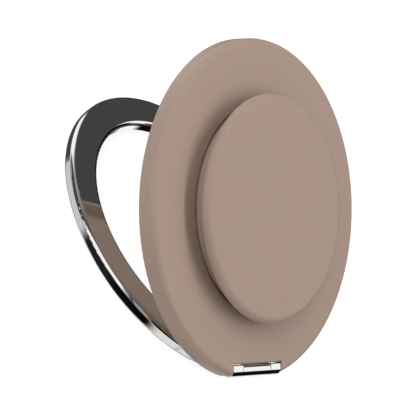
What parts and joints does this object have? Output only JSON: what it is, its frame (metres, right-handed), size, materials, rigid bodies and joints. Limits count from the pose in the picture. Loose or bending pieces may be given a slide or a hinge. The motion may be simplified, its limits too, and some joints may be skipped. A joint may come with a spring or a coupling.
{
  "type": "phone grip stand",
  "caption": "Magnetic phone grip and stand: a round disc with a pull-out grip top, hinged at its edge to a flat polished ring that holds to a phone.",
  "frame": {"origin": "centre of the ring, on the plane of its phone-side pad", "axes": "+Z away from the phone, hinge axis along X on the -Y side of the ring"},
  "size_m": [0.0594, 0.057, 0.0319],
  "materials": {
    "polished_metal": "mirror-polished chrome plating",
    "satin_plastic": "satin moulded polycarbonate",
    "neck_rubber": "matt moulded elastomer",
    "pad_rubber": "smooth soft pad",
    "magnet_plate": "nickel-plated magnet",
    "plain_steel": "ground steel"
  },
  "bodies": {
    "ring": {"magnet_ring": "polished_metal", "phone_pad": "pad_rubber", "ring_magnets": "magnet_plate", "magnet_shunt": "plain_steel", "friction_sleeve": "plain_steel"},
    "disc": {"hinge_bracket": "polished_metal", "hinge_pin": "plain_steel", "disc_cover": "satin_plastic", "back_cap": "satin_plastic", "folding_neck": "neck_rubber"},
    "grip": {"grip_hub": "satin_plastic", "grip_top": "satin_plastic"}
  },
  "joints": [
    {"name": "ring_hinge", "type": "hinge", "parent": "ring", "child": "disc", "pos_m": [0, -0.02795, 0.0024], "axis": [1, 0, 0], "range_deg": [-29.9, 80.1]},
    {"name": "grip_slide", "type": "slide", "parent": "disc", "child": "grip", "axis": [0, -0.4985, 0.8669], "range_m": [0, 0.016], "deforming": ["folding_neck"]}
  ]
}
